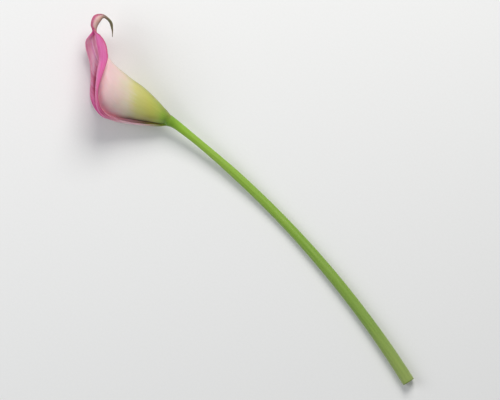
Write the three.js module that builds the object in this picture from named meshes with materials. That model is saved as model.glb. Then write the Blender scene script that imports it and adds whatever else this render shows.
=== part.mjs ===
// An arum lily flower, cut with its stem and lying on its side. Millimetres, +Z up.
//
// Three pieces: the spathe, one petal-like leaf rolled into a funnel round the flower's axis; the
// spadix, the finger of tiny florets inside it; and the fleshy stem that carries both.
//
// The flower is drawn in its own axes: "back" points from the funnel's open front to its midrib,
// "along" runs up the funnel from its base, and "across" is square to both, towards the upper side
// of the lying flower. The funnel's base is the zero of all three.

import * as THREE from 'three';
import { mergeVertices } from 'three/addons/utils/BufferGeometryUtils.js';

const DEGREE = Math.PI / 180;

// ---- how the flower lies ------------------------------------------------------------------------
const BASE_HEIGHT = 8.5;         // centre of the funnel's base above the surface
const MOUTH_RAISE = 8 * DEGREE;  // the funnel's mouth end is so much higher than its base
const HEADING = -69 * DEGREE;    // turns the whole flower so that its length runs along +X

// ---- the spathe ---------------------------------------------------------------------------------
const BLADE_THICKNESS = 0.75;
const TAIL_THICKNESS = 0.62;
const TAIL_START = 60;           // distance along the midrib where the drawn-out tail begins
const KEEL_HEIGHT = 0.5;         // the midrib stands out so far from the back of the blade
const BLADE_ROWS = 60;           // steps along the midrib
const BOWL_STEPS = 9;            // steps on each side of the midrib, up to the rolled lip
const LIP_STEPS = 5;
const FLAP_STEPS = 2;
const TIGHTER_FROM = 95 * DEGREE;  // the lower half of the blade bends in more after this turn
const TUCK_TURN = 14 * DEGREE;     // and turns on by so much, to slip inside the upper half
const TUCK_DEPTH = 1.15;           // so deep below it, from mid thickness to mid thickness
const SEAM_SHUT = 20;              // the halves overlap up to here, measured along the midrib
const SEAM_OPEN = 37;              // and are alike from here on
const LEAST_LIP = 1.0;             // the lip is at least so long, where it hardly rolls
const LEAST_FLAP = 0.5;
const SLIM_SHARE = 0.2;            // but in the slim tail at most this share of the rib's reach
const TAIL_BLEND = 8;              // the blade thins over this length before the tail
const TAIL_KEEL = 0.4;             // share of the keel that is left on the tail

// Cross ribs of the blade, from the base to the tip of the tail. Each rib lies in a plane through
// the midrib: it starts square to that plane's forward line, bends round the funnel by "wrap" on
// the bowl's radius, then rolls outwards by "roll" on the radius "lip" and ends in a straight
// "flap". The bowl's radius follows from the reach from the midrib to the foremost point. The
// upper half bends and rolls less by "open", and has a flap of its own.
//   midrib back, along   foremost back, along   wrap   lip  roll  flap   open  upper flap
const RIBS = [
  [   2.7,   0.0,          -2.9,  -0.2,         178,   0.8,   20,  0.2,     0,  0.2],
  [   4.5,   4.3,          -4.8,   3.5,         178,   0.9,  200,  0.4,     0,  0.4],
  [   7.4,  11.6,          -7.6,  10.7,         176,   1.3,  210,  0.6,     0,  0.6],
  [  10.1,  20.1,         -10.4,  19.0,         172,   1.5,  210,  0.8,     0,  0.8],
  [  11.6,  28.3,         -12.4,  26.8,         160,   1.6,  208,  1.1,     0,  1.1],
  [  13.0,  34.0,         -12.5,  33.7,         144,   1.7,  199,  1.2,     0,  1.1],
  [  14.3,  38.6,          -9.2,  39.4,         128,   1.8,  196,  1.8,     0,  0.9],
  [  15.7,  41.9,          -3.1,  43.3,         112,   2.3,  196,  3.6,     0,  1.2],
  [  16.8,  44.3,           3.7,  46.4,         100,   2.8,  194,  6.4,     9,  1.6],
  [  18.3,  46.6,           9.0,  49.4,          90,   3.1,  190,  6.2,    22,  2.2],
  [  20.0,  49.0,          13.4,  53.0,          80,   3.1,  184,  4.9,    32,  2.2],
  [  22.0,  51.4,          16.9,  55.9,          76,   2.8,  176,  4.6,    38,  0.7],
  [  23.8,  53.3,          20.1,  57.5,          82,   2.2,  168,  4.6,    46,  0.9],
  [  25.4,  54.6,          23.0,  57.4,          98,   1.6,  150,  3.2,    50,  1.4],
  [  26.9,  55.6,          25.7,  57.1,         115,   0.9,  110,  1.1,    40,  0.9],
  [  29.2,  56.1,          28.3,  59.4,         130,   0.8,   20,  0.2,    10,  0.2],
  [  32.0,  55.8,          33.4,  60.0,         130,   0.8,    0,  0.1,     0,  0.1],
  [  34.7,  55.0,          36.1,  56.5,         120,   0.8,    0,  0.1,     0,  0.1],
  [  34.1,  51.4,          35.1,  50.8,         100,   0.8,    0,  0.1,     0,  0.1],
  [  31.1,  48.7,          31.8,  47.9,          85,   0.8,    0,  0.1,     0,  0.1],
  [  27.3,  46.7,          27.7,  46.0,          70,   0.8,    0,  0.1,     0,  0.1],
];

// ---- the stem -----------------------------------------------------------------------------------
const STEM_LENGTH = 190;          // from the funnel's base to the cut end
const STEM_CROOK = 13 * DEGREE;   // seen from above, it bends by so much right below the flower
const CROOK_LENGTH = 6;           // within this length
const STEM_TURN = 20 * DEGREE;    // and by so much over the rest
const STEM_LANDING = 88;          // it comes down to the surface within this length
const STEM_SINK = 0.4;            // its weight presses it flat by so much where it lies
const STEM_SIDES = 16;
const STEM_STEPS = 40;
const SHOULDER_GAP = 0.65;        // the funnel's base stands clear of the stem's shoulder
const NECK_LENGTH = 5;            // the stem's end inside the funnel, which carries the spadix
const NECK_RADIUS = 1.0;
const NECK_BACK = 0.85;           // neck and spadix stand so far back, clear of the tucked-in edge
//   distance below the funnel's base, radius
const STEM_RADII = [[0, 2.9], [4, 2.45], [10, 2.2], [50, 2.3], [120, 2.8], [190, 3.3]];

// ---- the spadix ---------------------------------------------------------------------------------
const SPADIX_LENGTH = 34;
const SPADIX_GAP = 0.3;           // clear of the neck's end
const SPADIX_ROWS = 34;
const SPADIX_AROUND = 28;
const FLORET_HEIGHT = 0.3;        // the florets' heads stand so far above the hollows between them
//   share of the length, radius
const SPADIX_RADII = [
  [0, 1.4], [0.08, 1.9], [0.2, 2.7], [0.4, 3.0], [0.7, 2.6], [0.9, 1.9], [1, 1.2],
];

// ---- helpers ------------------------------------------------------------------------------------

// A smooth curve through rows of numbers, read at any place x between the first and the last.
function through(places, rows, x) {
  const last = places.length - 1;
  const at = Math.min(Math.max(x, places[0]), places[last]);
  let k = 0;
  while (k < last - 1 && at >= places[k + 1]) k += 1;
  const step = places[k + 1] - places[k];
  const t = (at - places[k]) / step;
  const slope = (i, column) => {
    const rise = (j) => (rows[j + 1][column] - rows[j][column]) / (places[j + 1] - places[j]);
    if (i === 0) return rise(0);
    if (i === last) return rise(last - 1);
    const before = places[i] - places[i - 1];
    const after = places[i + 1] - places[i];
    return (after * rise(i - 1) + before * rise(i)) / (before + after);
  };
  return rows[k].map((value, column) => (2 * t ** 3 - 3 * t ** 2 + 1) * value
    + (t ** 3 - 2 * t ** 2 + t) * step * slope(k, column)
    + (3 * t ** 2 - 2 * t ** 3) * rows[k + 1][column]
    + (t ** 3 - t ** 2) * step * slope(k + 1, column));
}

function radiusAt(table, x) {
  return through(table.map((row) => row[0]), table.map((row) => [row[1]]), x)[0];
}

// From the flower's own axes to the lying flower, before its heading is set.
function laid(back, along, across) {
  return new THREE.Vector3(
    back,
    along * Math.cos(MOUTH_RAISE) - across * Math.sin(MOUTH_RAISE),
    BASE_HEIGHT + along * Math.sin(MOUTH_RAISE) + across * Math.cos(MOUTH_RAISE),
  );
}

function piece(name, geometry, colour, roughness) {
  const material = new THREE.MeshStandardMaterial({ color: colour, roughness, metalness: 0 });
  const mesh = new THREE.Mesh(geometry, material);
  mesh.name = name;
  return mesh;
}

// ---- spathe -------------------------------------------------------------------------------------

const MIDRIB_AT = [0];
for (let i = 1; i < RIBS.length; i += 1) {
  const step = Math.hypot(RIBS[i][0] - RIBS[i - 1][0], RIBS[i][1] - RIBS[i - 1][1]);
  MIDRIB_AT.push(MIDRIB_AT[i - 1] + step);
}
const MIDRIB_LENGTH = MIDRIB_AT[RIBS.length - 1];

// How much further forward than the bowl's end the lip and flap reach.
function edgeReach(edge) {
  if (edge.wrap >= Math.PI) return 0;
  const turn = Math.max(edge.wrap - edge.roll, 0);
  return edge.lip * (Math.cos(turn) - Math.cos(edge.wrap)) + edge.flap * Math.sin(turn);
}

// The rolled edge of a rib; a lip that hardly rolls gets a wide radius, so that it keeps its length.
function ribEdge(wrap, roll, lipRadius, flapLength, reach) {
  const leastLip = Math.min(LEAST_LIP, SLIM_SHARE * reach);
  const leastFlap = Math.min(LEAST_FLAP, SLIM_SHARE * reach);
  const curl = Math.max(roll, 0.001);
  const lip = Math.max(lipRadius, leastLip / curl);
  return { wrap, roll: curl, lip, flap: Math.max(flapLength, leastFlap) };
}

// The rib at s, as [forward, across] steps from the midrib to one margin. The upper half of the
// blade is the outer one at the seam; the lower half is tucked inside it there.
function rib(shape, s, lower) {
  const [midBack, midAlong, foreBack, foreAlong] = shape;
  const [wrap, lipRadius, roll] = [shape[4] * DEGREE, shape[5], shape[6] * DEGREE];
  const [flapLength, open, upperFlap] = [shape[7], shape[8] * DEGREE, shape[9]];
  const reach = Math.hypot(foreBack - midBack, foreAlong - midAlong);
  let edge = ribEdge(wrap, roll, lipRadius, flapLength, reach);
  const radius = (reach - edgeReach(edge)) / (1 - Math.cos(wrap));
  const halfWay = radius * (1 - Math.cos(TIGHTER_FROM));
  let frontRadius = radius;
  const shut = lower ? 1 - THREE.MathUtils.smoothstep(s, SEAM_SHUT, SEAM_OPEN) : 0;
  if (shut > 0) {
    const unrolled = 1 - THREE.MathUtils.smoothstep(shut, 0, 0.5);
    edge = ribEdge(wrap + TUCK_TURN * shut, roll * unrolled, lipRadius, flapLength * unrolled, reach);
    const tucked = radius * (1 - Math.cos(wrap)) - TUCK_DEPTH;
    const aim = shut * tucked + (1 - shut) * reach;
    const turned = Math.cos(TIGHTER_FROM) - Math.cos(Math.min(edge.wrap, Math.PI));
    frontRadius = shut * (aim - halfWay - edgeReach(edge)) / turned + (1 - shut) * radius;
  }
  if (!lower) edge = ribEdge(wrap - open, roll - open, lipRadius, upperFlap, reach);
  const firstLength = radius * Math.min(TIGHTER_FROM, edge.wrap);
  const bowlLength = firstLength + frontRadius * Math.max(edge.wrap - TIGHTER_FROM, 0);
  const points = [];
  for (let j = 0; j <= BOWL_STEPS; j += 1) {
    const share = j / BOWL_STEPS;
    const length = bowlLength * share * (1 + share) / 2;   // closer steps beside the keel
    if (length <= firstLength) {
      const turn = length / radius;
      points.push([radius * (1 - Math.cos(turn)), radius * Math.sin(turn)]);
    } else {
      const turn = TIGHTER_FROM + (length - firstLength) / frontRadius;
      points.push([
        halfWay + frontRadius * (Math.cos(TIGHTER_FROM) - Math.cos(turn)),
        radius * Math.sin(TIGHTER_FROM) + frontRadius * (Math.sin(turn) - Math.sin(TIGHTER_FROM)),
      ]);
    }
  }
  const [bowlForward, bowlAcross] = points[BOWL_STEPS];
  for (let j = 1; j <= LIP_STEPS; j += 1) {
    const turn = edge.wrap - edge.roll * j / LIP_STEPS;
    points.push([
      bowlForward + edge.lip * (Math.cos(turn) - Math.cos(edge.wrap)),
      bowlAcross + edge.lip * (Math.sin(edge.wrap) - Math.sin(turn)),
    ]);
  }
  const [lipForward, lipAcross] = points[BOWL_STEPS + LIP_STEPS];
  for (let j = 1; j <= FLAP_STEPS; j += 1) {
    const length = edge.flap * j / FLAP_STEPS;
    points.push([
      lipForward + length * Math.sin(edge.wrap - edge.roll),
      lipAcross + length * Math.cos(edge.wrap - edge.roll),
    ]);
  }
  return points;
}

// The middle of the blade's thickness, one row of points for each rib, lower margin first.
function bladeRows() {
  const rows = [];
  for (let i = 0; i <= BLADE_ROWS; i += 1) {
    const s = MIDRIB_LENGTH * i / BLADE_ROWS;
    const shape = through(MIDRIB_AT, RIBS, s);
    const [midBack, midAlong, foreBack, foreAlong] = shape;
    const forward = new THREE.Vector2(foreBack - midBack, foreAlong - midAlong).normalize();
    const place = (ahead, across) => (
      laid(midBack + ahead * forward.x, midAlong + ahead * forward.y, across)
    );
    const lower = rib(shape, s, true).slice(1).map(([ahead, across]) => place(ahead, -across));
    const upper = rib(shape, s, false).map(([ahead, across]) => place(ahead, across));
    rows.push([...lower.reverse(), ...upper]);
  }
  return rows;
}

// The two faces of the blade, joined round its edge; both are split along the same diagonals.
function bladeGeometry(rows) {
  const across = rows[0].length;
  const middle = (across - 1) / 2;
  const positions = [];
  const faces = [[], []];
  rows.forEach((row, i) => {
    const s = MIDRIB_LENGTH * i / (rows.length - 1);
    const slim = THREE.MathUtils.smoothstep(s, TAIL_START - TAIL_BLEND, TAIL_START);
    const half = THREE.MathUtils.lerp(BLADE_THICKNESS, TAIL_THICKNESS, slim) / 2;
    const before = rows[Math.max(i - 1, 0)];
    const after = rows[Math.min(i + 1, rows.length - 1)];
    row.forEach((point, j) => {
      const up = after[j].clone().sub(before[j]);
      const side = row[Math.min(j + 1, across - 1)].clone().sub(row[Math.max(j - 1, 0)]);
      const inward = up.cross(side).normalize();
      const keel = j === middle ? KEEL_HEIGHT * THREE.MathUtils.lerp(1, TAIL_KEEL, slim) : 0;
      const inner = point.clone().addScaledVector(inward, half);
      const outer = point.clone().addScaledVector(inward, -half - keel);
      const press = Math.max(-inner.z, -outer.z, 0);   // the spathe is pressed flat where it rests
      faces[0].push(inner.setZ(inner.z + press));
      faces[1].push(outer.setZ(outer.z + press));
    });
  });
  faces.forEach((face) => face.forEach((point) => positions.push(point.x, point.y, point.z)));
  const count = rows.length * across;
  const at = (i, j, face) => face * count + i * across + j;
  const index = [];
  const quad = (a, b, c, d) => index.push(a, b, c, a, c, d);
  for (let i = 0; i < rows.length - 1; i += 1) {
    for (let j = 0; j < across - 1; j += 1) {
      const [a, b, c, d] = [at(i, j, 0), at(i, j + 1, 0), at(i + 1, j + 1, 0), at(i + 1, j, 0)];
      index.push(a, c, b, a, d, c);
      const [e, f, g, h] = [a + count, b + count, c + count, d + count];
      index.push(e, f, g, e, g, h);
    }
  }
  for (let j = 0; j < across - 1; j += 1) {
    const top = rows.length - 1;
    quad(at(0, j, 0), at(0, j + 1, 0), at(0, j + 1, 1), at(0, j, 1));
    quad(at(top, j + 1, 0), at(top, j, 0), at(top, j, 1), at(top, j + 1, 1));
  }
  for (let i = 0; i < rows.length - 1; i += 1) {
    const edge = across - 1;
    quad(at(i + 1, 0, 0), at(i, 0, 0), at(i, 0, 1), at(i + 1, 0, 1));
    quad(at(i, edge, 0), at(i + 1, edge, 0), at(i + 1, edge, 1), at(i, edge, 1));
  }
  const geometry = new THREE.BufferGeometry();
  geometry.setAttribute('position', new THREE.Float32BufferAttribute(positions, 3));
  geometry.setIndex(index);
  geometry.computeVertexNormals();
  return geometry;
}

// ---- stem ---------------------------------------------------------------------------------------

// Place and frame of the stem at a distance below the funnel's base; negative is inside the funnel.
function stemAt(distance) {
  const crookRate = STEM_CROOK / CROOK_LENGTH;
  const rate = STEM_TURN / (STEM_LENGTH - CROOK_LENGTH);
  const crook = Math.min(Math.max(distance, 0), CROOK_LENGTH) * crookRate;
  const turn = crook + Math.max(distance - CROOK_LENGTH, 0) * rate;
  const inside = Math.min(distance, 0) * Math.cos(MOUTH_RAISE);
  const back = -(1 - Math.cos(crook)) / crookRate - (Math.cos(crook) - Math.cos(turn)) / rate;
  const along = -inside - Math.sin(crook) / crookRate
    - (Math.sin(turn) - Math.sin(crook)) / rate;
  const ease = 1 - Math.min(Math.max(distance, 0) / STEM_LANDING, 1);
  const lying = radiusAt(STEM_RADII, Math.max(distance, STEM_LANDING)) - STEM_SINK;
  const raised = -Math.min(distance, 0) * Math.sin(MOUTH_RAISE);
  const height = lying + (BASE_HEIGHT - lying) * ease ** 2 + raised;
  const place = new THREE.Vector3(back, along, height);
  return { place, sideways: new THREE.Vector3(Math.cos(turn), -Math.sin(turn), 0) };
}

// A unit cylinder's vertices carried onto the stem: its height becomes the distance along it.
function stemGeometry() {
  const rings = [[-NECK_LENGTH, NECK_RADIUS], [SHOULDER_GAP, NECK_RADIUS], [SHOULDER_GAP, null]];
  for (let i = 1; i <= STEM_STEPS; i += 1) {
    const share = (i / STEM_STEPS) ** 1.15;   // closer rings near the flower
    rings.push([THREE.MathUtils.lerp(SHOULDER_GAP, STEM_LENGTH, share), null]);
  }
  const geometry = new THREE.CylinderGeometry(1, 1, rings.length - 1, STEM_SIDES, rings.length - 1);
  const position = geometry.attributes.position;
  for (let k = 0; k < position.count; k += 1) {
    const ring = Math.round((rings.length - 1) / 2 - position.getY(k));
    const [distance, neck] = rings[ring];
    const radius = neck ?? radiusAt(STEM_RADII, distance);
    const { place, sideways } = stemAt(distance);
    const ahead = stemAt(distance + 0.5).place.sub(stemAt(distance - 0.5).place).normalize();
    const upright = new THREE.Vector3().crossVectors(ahead, sideways).normalize();
    const aside = new THREE.Vector3().crossVectors(upright, ahead);
    const point = place.clone()
      .addScaledVector(aside, radius * position.getX(k) + (neck ? NECK_BACK : 0))
      .addScaledVector(upright, radius * position.getZ(k));
    position.setXYZ(k, point.x, point.y, Math.max(point.z, 0));
  }
  geometry.deleteAttribute('normal');
  geometry.deleteAttribute('uv');
  return mergeVertices(geometry, 1e-4);
}

// ---- spadix -------------------------------------------------------------------------------------

// A unit sphere's vertices carried onto the finger; every second vertex is a floret's raised head.
function spadixGeometry() {
  const geometry = new THREE.SphereGeometry(1, SPADIX_AROUND, SPADIX_ROWS);
  geometry.deleteAttribute('normal');
  geometry.deleteAttribute('uv');
  const start = NECK_LENGTH + SPADIX_GAP;
  const position = geometry.attributes.position;
  for (let k = 0; k < position.count; k += 1) {
    const [x, y, z] = [position.getX(k), position.getY(k), position.getZ(k)];
    const row = Math.round(Math.acos(Math.min(Math.max(-y, -1), 1)) / Math.PI * SPADIX_ROWS);
    const angle = Math.atan2(z, x);
    const column = Math.round((angle / (2 * Math.PI) + 1) * SPADIX_AROUND);
    const share = row / SPADIX_ROWS;
    const onPole = row === 0 || row === SPADIX_ROWS;
    const isHead = (row + column) % 2 === 0;
    const radius = onPole ? 0 : radiusAt(SPADIX_RADII, share) + (isHead ? FLORET_HEIGHT : 0);
    const turn = 2 * Math.PI * column / SPADIX_AROUND;
    const along = start + SPADIX_LENGTH * share;
    const point = laid(NECK_BACK + radius * Math.cos(turn), along, radius * Math.sin(turn));
    position.setXYZ(k, point.x, point.y, point.z);
  }
  return mergeVertices(geometry, 1e-4);
}

// ---- the flower ---------------------------------------------------------------------------------

const flower = new THREE.Group();
flower.add(piece('spathe', bladeGeometry(bladeRows()), 0xdb9fa6, 0.5));
flower.add(piece('spadix', spadixGeometry(), 0xe3a24f, 0.8));
flower.add(piece('stem', stemGeometry(), 0x7d9a44, 0.45));
flower.rotation.z = HEADING;
flower.updateMatrixWorld(true);

// The middle of the flower's box, seen from above, becomes the origin.
const box = new THREE.Box3().setFromObject(flower, true);
flower.position.set(-(box.min.x + box.max.x) / 2, -(box.min.y + box.max.y) / 2, 0);

export default flower;
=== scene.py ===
# %% [markdown]
# # An arum lily flower, cut with its stem and laid on its side
#
# The flower has three pieces. The *spathe* is one petal-like leaf, rolled into a funnel. The *spadix* is
# the finger of tiny florets inside it. The fleshy *stem* carries both. The imported solids already have the
# right size and place, so this lesson only makes their finer skins, their colours and the light.
#
# The first step loads those solids as a fixed frame; the stem's box is read from it later, to place the
# flower and to compare with.

import math
import random

import bmesh
import bpy
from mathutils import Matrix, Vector, noise


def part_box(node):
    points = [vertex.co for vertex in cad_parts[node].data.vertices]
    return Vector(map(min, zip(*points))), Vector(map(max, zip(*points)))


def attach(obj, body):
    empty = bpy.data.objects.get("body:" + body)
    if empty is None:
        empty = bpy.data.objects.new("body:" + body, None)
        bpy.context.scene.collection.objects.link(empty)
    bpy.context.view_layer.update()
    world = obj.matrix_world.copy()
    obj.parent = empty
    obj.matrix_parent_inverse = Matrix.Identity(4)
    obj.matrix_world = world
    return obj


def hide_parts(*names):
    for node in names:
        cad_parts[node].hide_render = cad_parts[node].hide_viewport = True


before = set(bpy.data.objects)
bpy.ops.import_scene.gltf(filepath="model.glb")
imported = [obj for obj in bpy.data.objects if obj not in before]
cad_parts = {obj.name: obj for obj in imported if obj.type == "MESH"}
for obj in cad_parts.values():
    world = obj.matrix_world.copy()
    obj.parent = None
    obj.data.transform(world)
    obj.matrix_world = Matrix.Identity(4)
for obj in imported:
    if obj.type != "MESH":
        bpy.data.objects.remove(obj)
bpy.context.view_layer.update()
MM = 0.001


# %% [markdown]
# A few small helpers come first. `smooth_step` goes softly from 0 to 1 between two places, and `blend` mixes
# two numbers. `curve_at` reads a smooth curve through rows of given numbers, so that a shape needs only a
# few rows and still has no corners, and `radius_at` does so for one column.

# %% Smooth steps and curves
def blend(a, b, share):
    return a + (b - a) * share


def smooth_step(x, low, high):
    t = min(max((x - low) / (high - low), 0.0), 1.0)
    return t * t * (3 - 2 * t)


def curve_at(places, rows, x):
    """The row of values at x, on a smooth curve through the rows at their places."""
    last = len(places) - 1
    x = min(max(x, places[0]), places[last])
    k = 0
    while k < last - 1 and x >= places[k + 1]:
        k += 1
    step = places[k + 1] - places[k]
    t = (x - places[k]) / step

    def rise(j, column):
        return (rows[j + 1][column] - rows[j][column]) / (places[j + 1] - places[j])

    def slope(i, column):
        if i == 0:
            return rise(0, column)
        if i == last:
            return rise(last - 1, column)
        before, after = places[i] - places[i - 1], places[i + 1] - places[i]
        return (after * rise(i - 1, column) + before * rise(i, column)) / (before + after)

    return [
        (2 * t**3 - 3 * t**2 + 1) * rows[k][c]
        + (t**3 - 2 * t**2 + t) * step * slope(k, c)
        + (3 * t**2 - 2 * t**3) * rows[k + 1][c]
        + (t**3 - t**2) * step * slope(k + 1, c)
        for c in range(len(rows[0]))
    ]


def radius_at(table, x):
    return curve_at([row[0] for row in table], [[row[1]] for row in table], x)[0]


print("a smooth step, a quarter of the way:", smooth_step(0.25, 0, 1))

# %% [markdown]
# The stem is a fleshy cylinder. It bends a little right below the flower, then sideways in one even arc,
# and comes down to the surface on its way. It could be a curve with a bevel, but then its cut end and its
# pressed underside would need a second method. Here a function gives the stem's middle at any distance
# below the flower, and every ring of the stem stands on it. The stem's box then also says where the packed
# flower stands in the frame.

# %% How the flower lies, in millimetres
BASE_HEIGHT = 8.5                # centre of the funnel's base above the surface
MOUTH_RAISE = math.radians(8)    # the funnel's mouth end is so much higher than its base
HEADING = math.radians(-69)      # turns the whole flower so that its length runs along +X
STEM_LENGTH = 190.0
STEM_CROOK = math.radians(13)    # right below the flower it bends by so much
CROOK_LENGTH = 6.0
STEM_TURN = math.radians(20)     # and by so much over the rest of its length
STEM_LANDING = 88.0              # from here on it lies on the surface
STEM_SINK = 0.4                  # and is pressed flat by so much
STEM_RADII = [(0, 2.9), (4, 2.45), (10, 2.2), (50, 2.3), (120, 2.8), (STEM_LENGTH, 3.3)]
SHOULDER = 0.65                  # the stem's shoulder lies so far below the funnel's base
NECK_LENGTH = 5.0                # the stem's end inside the funnel, which carries the spadix
NECK_RADIUS = 1.0
NECK_BACK = 0.85                 # neck and spadix stand so far towards the midrib
AIM_STEP = 0.5                   # its direction is read from its middle so far before and after
BOX_SIDES = 16                   # points round each ring of the stem's own box


def laid(back, along, across):
    """From the flower's own axes to the lying flower."""
    return Vector((
        back,
        along * math.cos(MOUTH_RAISE) - across * math.sin(MOUTH_RAISE),
        BASE_HEIGHT + along * math.sin(MOUTH_RAISE) + across * math.cos(MOUTH_RAISE),
    ))


def stem_middle(distance):
    """The stem's middle at a distance below the funnel's base, and its turn there, seen from above."""
    crook_rate = STEM_CROOK / CROOK_LENGTH
    rate = STEM_TURN / (STEM_LENGTH - CROOK_LENGTH)
    crook = min(max(distance, 0), CROOK_LENGTH) * crook_rate
    turn = crook + max(distance - CROOK_LENGTH, 0) * rate
    ease = 1 - min(max(distance, 0) / STEM_LANDING, 1)
    lying = radius_at(STEM_RADII, max(distance, STEM_LANDING)) - STEM_SINK
    raised = -min(distance, 0) * math.sin(MOUTH_RAISE)
    inside = min(distance, 0) * math.cos(MOUTH_RAISE)
    return Vector((
        -(1 - math.cos(crook)) / crook_rate - (math.cos(crook) - math.cos(turn)) / rate,
        -inside - math.sin(crook) / crook_rate - (math.sin(turn) - math.sin(crook)) / rate,
        lying + (BASE_HEIGHT - lying) * ease**2 + raised,
    )), turn


def stem_axes(distance):
    """Middle, sideways and upward directions of the stem's cross-section."""
    middle, turn = stem_middle(distance)
    sideways = Vector((math.cos(turn), -math.sin(turn), 0))
    ahead = (stem_middle(distance + AIM_STEP)[0] - stem_middle(distance - AIM_STEP)[0]).normalized()
    upright = ahead.cross(sideways).normalized()
    return middle, upright.cross(ahead), upright


def headed(point):
    """Turned to the flower's heading, still in millimetres."""
    cos, sin = math.cos(HEADING), math.sin(HEADING)
    return Vector((point.x * cos - point.y * sin, point.x * sin + point.y * cos, point.z))


def stem_skin_box():
    """Lowest and highest corner of the stem on its own, turned to its heading."""
    ring_points = []
    for distance in (-NECK_LENGTH, SHOULDER, *range(1, int(STEM_LENGTH) + 1)):
        middle, aside, upright = stem_axes(distance)
        radius = NECK_RADIUS if distance < 0 else radius_at(STEM_RADII, distance)
        for k in range(BOX_SIDES):
            angle = 2 * math.pi * k / BOX_SIDES
            across = aside * radius * math.sin(angle) + upright * radius * math.cos(angle)
            ring_points.append(headed(middle + across))
    return [Vector([pick(p[c] for p in ring_points) for c in range(3)]) for pick in (min, max)]


stem_low, stem_high = stem_skin_box()
packed_low, packed_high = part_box("stem")
SHIFT = (packed_low + packed_high) / 2 / MM - (stem_low + stem_high) / 2
SHIFT.z = 0


def in_frame(point):
    """From the lying flower, in millimetres, to the frame, in metres."""
    return (headed(point) + SHIFT) * MM


misfit = (stem_high - stem_low) - (packed_high - packed_low) / MM
print("the stem's own box and its packed one differ in mm by", [round(c, 2) for c in misfit])

# %% [markdown]
# The spathe is one leaf blade, so it is one surface: a grid whose rows are cross ribs and whose columns run
# from the base to the tip of the tail. Sculpting such a roll by hand would never get the tucked seam, the
# rolled-back lips and the hooked tail to flow into one another. A table of ribs does: each says where the
# midrib and the foremost point are, how far the rib bends round the funnel, and how its lip rolls outwards.
# The upper half bends and rolls less by "open", and has a flap of its own, because no real lips are twins.

# %% The spathe's cross ribs, in millimetres and degrees
#   midrib back, along   foremost back, along   wrap   lip  roll  flap   open  upper flap
RIBS = [
    (2.7, 0.0, -2.9, -0.2, 178, 0.8, 20, 0.2, 0, 0.2),
    (4.5, 4.3, -4.8, 3.5, 178, 0.9, 200, 0.4, 0, 0.4),
    (7.4, 11.6, -7.6, 10.7, 176, 1.3, 210, 0.6, 0, 0.6),
    (10.1, 20.1, -10.4, 19.0, 172, 1.5, 210, 0.8, 0, 0.8),
    (11.6, 28.3, -12.4, 26.8, 160, 1.6, 208, 1.1, 0, 1.1),
    (13.0, 34.0, -12.5, 33.7, 144, 1.7, 199, 1.2, 0, 1.1),
    (14.3, 38.6, -9.2, 39.4, 128, 1.8, 196, 1.8, 0, 0.9),
    (15.7, 41.9, -3.1, 43.3, 112, 2.3, 196, 3.6, 0, 0.4),
    (16.8, 44.3, 3.7, 46.4, 100, 2.8, 194, 6.4, 8, 6.0),
    (18.3, 46.6, 9.0, 49.4, 90, 3.1, 190, 6.2, 27, 2.3),
    (20.0, 49.0, 13.4, 53.0, 80, 3.1, 184, 4.9, 33, 1.0),
    (22.0, 51.4, 16.9, 55.9, 76, 2.8, 176, 4.6, 38, 0.7),
    (23.8, 53.3, 20.1, 57.5, 82, 2.2, 168, 4.6, 46, 0.9),
    (25.4, 54.6, 23.0, 57.4, 98, 1.6, 150, 3.2, 50, 1.4),
    (26.9, 55.6, 25.7, 57.1, 115, 0.9, 110, 1.1, 40, 0.9),
    (29.2, 56.1, 28.3, 59.4, 130, 0.8, 20, 0.2, 10, 0.2),
    (32.0, 55.8, 33.4, 60.0, 130, 0.8, 0, 0.1, 0, 0.1),
    (34.7, 55.0, 36.1, 56.5, 120, 0.8, 0, 0.1, 0, 0.1),
    (34.1, 51.4, 35.1, 50.8, 100, 0.8, 0, 0.1, 0, 0.1),
    (31.1, 48.7, 31.8, 47.9, 85, 0.8, 0, 0.1, 0, 0.1),
    (27.3, 46.7, 27.7, 46.0, 70, 0.8, 0, 0.1, 0, 0.1),
]
TIGHTER_FROM = math.radians(95)  # the lower half of the blade bends in more after this turn
TUCK_TURN = math.radians(14)     # and turns on by so much, to slip inside the upper half
TUCK_DEPTH = 1.15                # it ends so far behind the upper half's front
SEAM_SHUT, SEAM_OPEN = 20.0, 37.0    # the halves overlap up to the first, and match from the second
LEAST_LIP, LEAST_FLAP = 1.0, 0.5     # both are at least so long,
SLIM_SHARE = 0.2                     # or on a slim rib this share of its reach

rib_places = [0.0]
for before, after in zip(RIBS, RIBS[1:]):
    rib_places.append(rib_places[-1] + math.dist(before[:2], after[:2]))
MIDRIB_LENGTH = rib_places[-1]
print(f"{len(RIBS)} ribs along a midrib of {MIDRIB_LENGTH:.1f} mm")

# %% [markdown]
# One half of a rib is three stretches in a row: the bowl, an arc round the funnel; the lip, a tighter arc
# that rolls the other way; and the flap, a straight end. The lower half is tucked inside the upper one
# along the closed part of the funnel, as the margins of a real spathe overlap, and it opens to match
# further up.
#
# First the bends. The lip and the flap take up a part of the rib's reach, and the bowl's radius follows
# from the rest.

# %% How half a rib bends
def edge_reach(wrap, roll, lip, flap):
    """How much further forward than the bowl's end the lip and flap reach."""
    if wrap >= math.pi:
        return 0.0
    turn = max(wrap - roll, 0)
    return lip * (math.cos(turn) - math.cos(wrap)) + flap * math.sin(turn)


def rib_edge(roll, lip, flap, reach):
    """A lip that hardly rolls gets a wide radius, so that it keeps its length."""
    roll = max(roll, 0.001)
    lip = max(lip, min(LEAST_LIP, SLIM_SHARE * reach) / roll)
    return roll, lip, max(flap, min(LEAST_FLAP, SLIM_SHARE * reach))


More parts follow.
